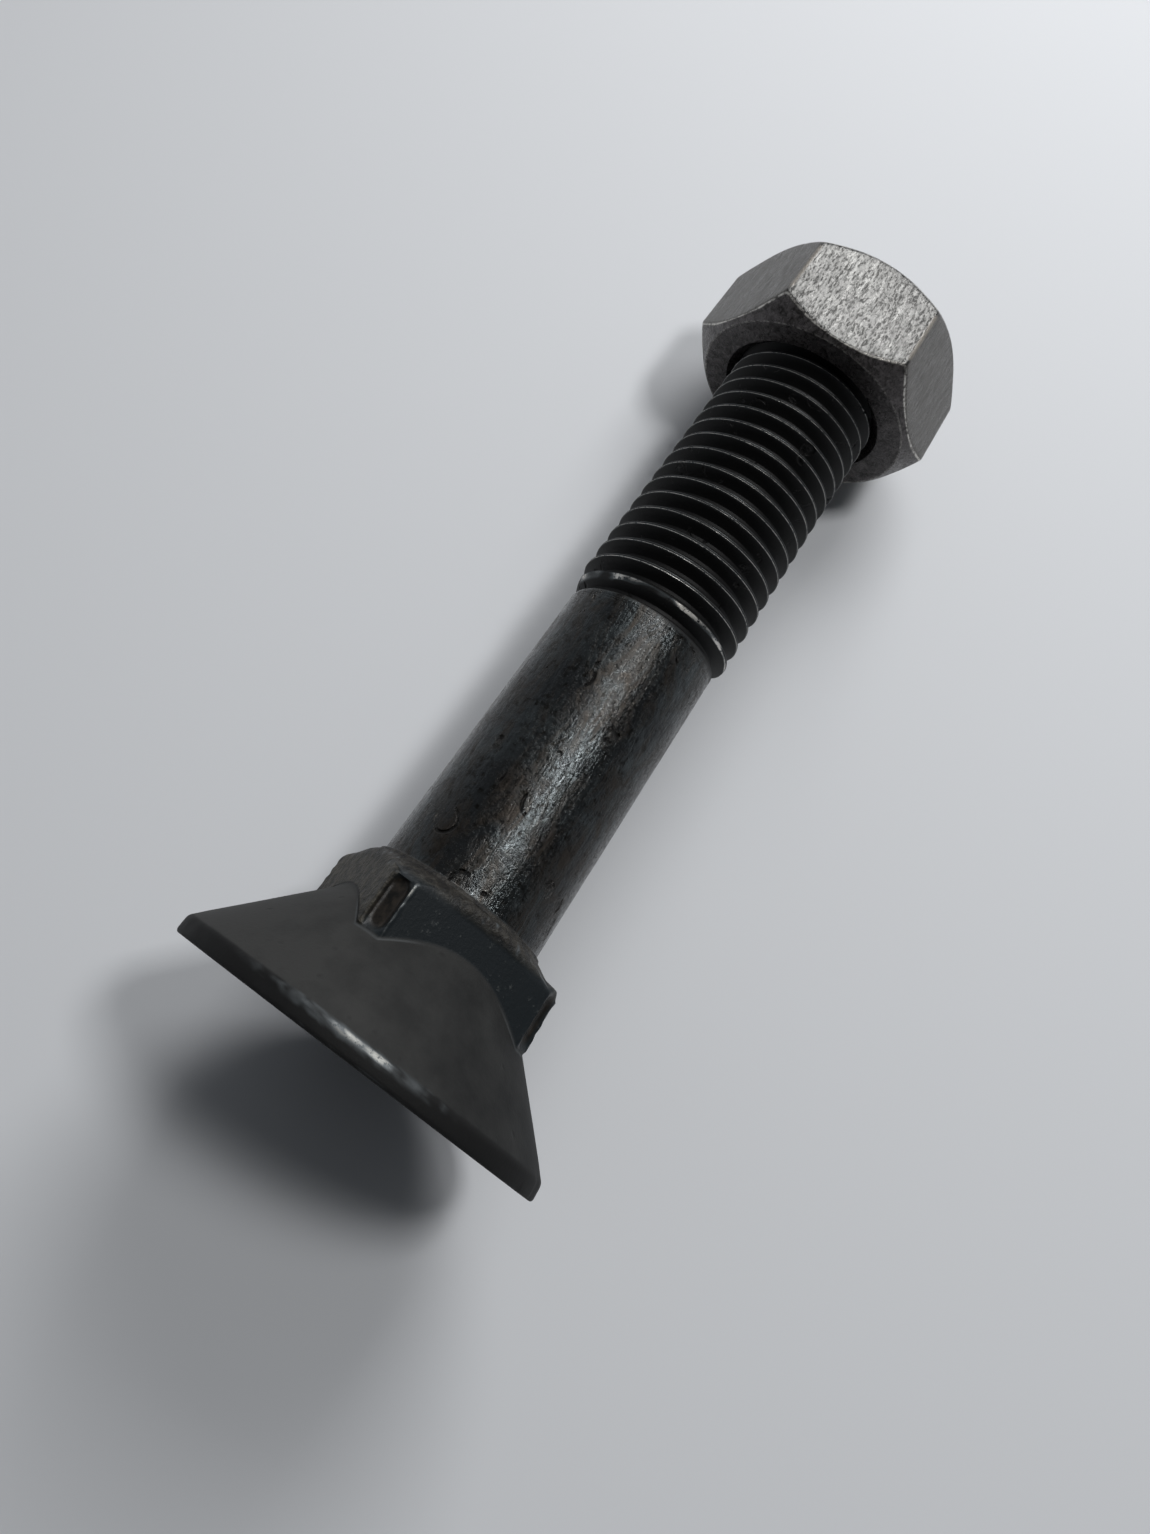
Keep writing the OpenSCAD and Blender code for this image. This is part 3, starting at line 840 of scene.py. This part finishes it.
# the bright edge of each arc, where the mark passes its middle, worn bare and painted brighter as a
# highlight, and the brown, less metallic corners
EDGE_MIDDLE, EDGE_W, EDGE_SPAN = 0.55, (0.15, 0.42), (0.2, 0.6)
EDGE_HIGHLIGHT_TONE, CORNER_TONE = hexed("#c4c1bb"), hexed("#7d7871")
CORNER_SPAN = (1.1, 1.7)
edge_wear_and_highlight = add(tree, "Math", {0: on_flat, 1: EDGE_MIDDLE}, operation="SUBTRACT")
edge_wear_and_highlight = add(tree, "Math", {0: edge_wear_and_highlight}, operation="ABSOLUTE")
edge_wear_and_highlight = add(tree, "MapRange", {0: edge_wear_and_highlight, (1, 2): EDGE_W, (3, 4): (1, 0)})
edge_breaks = add(tree, "MapRange", {0: soil, (1, 2): EDGE_SPAN})
edge_wear_and_highlight = add(tree, "Math", {0: edge_wear_and_highlight, 1: edge_breaks}, operation="MULTIPLY")
tone = add(tree, "Mix", {0: edge_wear_and_highlight, (6, 7): (tone, EDGE_HIGHLIGHT_TONE)}, 2, data_type="RGBA")
at_corner = add(tree, "MapRange", {0: on_flat, (1, 2): CORNER_SPAN})
tone = add(tree, "Mix", {0: at_corner, (6, 7): (tone, CORNER_TONE)}, 2, data_type="RGBA")

# gloss, metal and relief
NUT_METAL, CORNER_METAL = (0.6, 0.95), 0.3
NUT_GLOSS_SPAN, NUT_GLOSS = (0.85, 1.15), (0.2, 0.46)
LINE_H, NUT_GRAIN_H = 0.08, 0.1
NUT_BUMP = 0.7
metal = add(tree, "MapRange", {0: on_flat, (3, 4): NUT_METAL})
metal = add(tree, "Mix", {0: at_corner, (2, 3): (metal, CORNER_METAL)})
rough = add(tree, "Math", {0: lines, 1: grain}, operation="ADD")
rough = add(tree, "MapRange", {0: rough, (1, 2): NUT_GLOSS_SPAN, (3, 4): NUT_GLOSS})
relief = add(tree, "Math", {0: lines, 1: LINE_H}, operation="MULTIPLY")
relief = add(tree, "Math", {0: grain, 1: NUT_GRAIN_H, 2: relief}, operation="MULTIPLY_ADD")
surfaced(nut, bare_steel, tone, rough, metal, relief, NUT_BUMP)

# Floor: a plain sheet of pale matt paper, larger than any view takes in. It is lit and shaded near the bolt,
# and from 0.2 to 0.5 m away it passes into the plain tone that the eye sees beyond.
FLOOR_HALF = 1.5
PAPER_TONE, FAR_TONE = hexed("#d6d8db"), hexed("#c3c6ca")
PAPER_MATT, PAPER_SHEEN = 0.9, 0.2
FAR_SPAN = (0.2, 0.5)
floor_bm = bmesh.new()
bmesh.ops.create_grid(floor_bm, x_segments=1, y_segments=1, size=FLOOR_HALF)
floor_mesh = bpy.data.meshes.new("floor")
floor_bm.to_mesh(floor_mesh)
floor_bm.free()
floor = bpy.data.objects.new("floor", floor_mesh)
bpy.context.scene.collection.objects.link(floor)


def looked_at(tree):
    """1 for what the eye sees, straight on, mirrored in metal or through glass, and 0 for falling light."""
    straight = add(tree, "LightPath", {}, "Is Camera Ray")
    mirrored = add(tree, "LightPath", {}, "Is Glossy Ray")
    through = add(tree, "LightPath", {}, "Is Transmission Ray")
    seen = add(tree, "Math", {0: straight, 1: mirrored}, operation="MAXIMUM")
    return add(tree, "Math", {0: seen, 1: through}, operation="MAXIMUM")


paper, tree = new_material("matt_paper")
paper_shader = tree.nodes["Principled BSDF"]
paper_shader.inputs["Base Color"].default_value = PAPER_TONE
paper_shader.inputs["Roughness"].default_value = PAPER_MATT
paper_shader.inputs["Specular IOR Level"].default_value = PAPER_SHEEN
away = add(tree, "TexCoord", {}, "Object")
away = add(tree, "VectorMath", {0: away}, "Value", operation="LENGTH")
away = add(tree, "MapRange", {0: away, (1, 2): FAR_SPAN}, interpolation_type="SMOOTHSTEP")
away = add(tree, "Math", {0: away, 1: looked_at(tree)}, operation="MULTIPLY")
glow = add(tree, "Emission", {"Color": FAR_TONE})
sheet = add(tree, "MixShader", {0: away, (1, 2): (paper_shader.outputs["BSDF"], glow)})
tree.links.new(sheet, tree.nodes["Material Output"].inputs["Surface"])
floor_mesh.materials.append(paper)

# Light: a small soft lamp high above the nut and to its right, a wider one beyond the nut, and a surround
# that is pale beyond the bolt and dark on the side where the viewer stands. Low down, the eye sees a plain
# pale backdrop, straight on and mirrored in the metal.
SURROUND_TONE = hexed("#e6ebf2")
PALE_WAY = (0.8, 0.6, 0)
PALE_SPAN, PALE_LEVEL = (-0.7, 1), (0, 0.3)
BACKDROP_TOP, BACKDROP_LEVEL = (0.14, 0.32), 0.8
LAMPS = (                               # place and aim in metres, width, and watts
    ("key", (0.14, -0.13, 0.51), (0, 0, 0), 0.085, 1.04),
    ("beyond", (0.34, 0.03, 0.33), (0.03, 0, 0.02), 0.26, 1.42),
)
world = bpy.data.worlds.new("surround")
bpy.context.scene.world = world
world.use_nodes = True
tree = world.node_tree
skyward = add(tree, "TexCoord", {}, "Generated")
toward = add(tree, "VectorMath", {0: skyward, 1: PALE_WAY}, "Value", operation="DOT_PRODUCT")
level = add(tree, "MapRange", {0: toward, (1, 2): PALE_SPAN, (3, 4): PALE_LEVEL})
rise = add(tree, "SeparateXYZ", {0: skyward}, "Z")
falls = {0: rise, (1, 2): BACKDROP_TOP, (3, 4): (1, 0)}
low_down = add(tree, "MapRange", falls, interpolation_type="SMOOTHSTEP")
low_down = add(tree, "Math", {0: low_down, 1: looked_at(tree)}, operation="MULTIPLY")
level = add(tree, "Mix", {0: low_down, (2, 3): (level, BACKDROP_LEVEL)})
backdrop = tree.nodes["Background"]
backdrop.inputs["Color"].default_value = SURROUND_TONE
tree.links.new(level, backdrop.inputs["Strength"])
for name, at, aim, width, watts in LAMPS:
    lamp_data = bpy.data.lights.new(name, "AREA")
    lamp_data.shape = "RECTANGLE"
    lamp_data.size = lamp_data.size_y = width
    lamp_data.energy = watts
    lamp = bpy.data.objects.new(name, lamp_data)
    bpy.context.scene.collection.objects.link(lamp)
    lamp.location = at
    lamp.rotation_euler = (Vector(aim) - Vector(at)).to_track_quat("-Z", "Y").to_euler()

bpy.context.scene.view_settings.view_transform = "Standard"
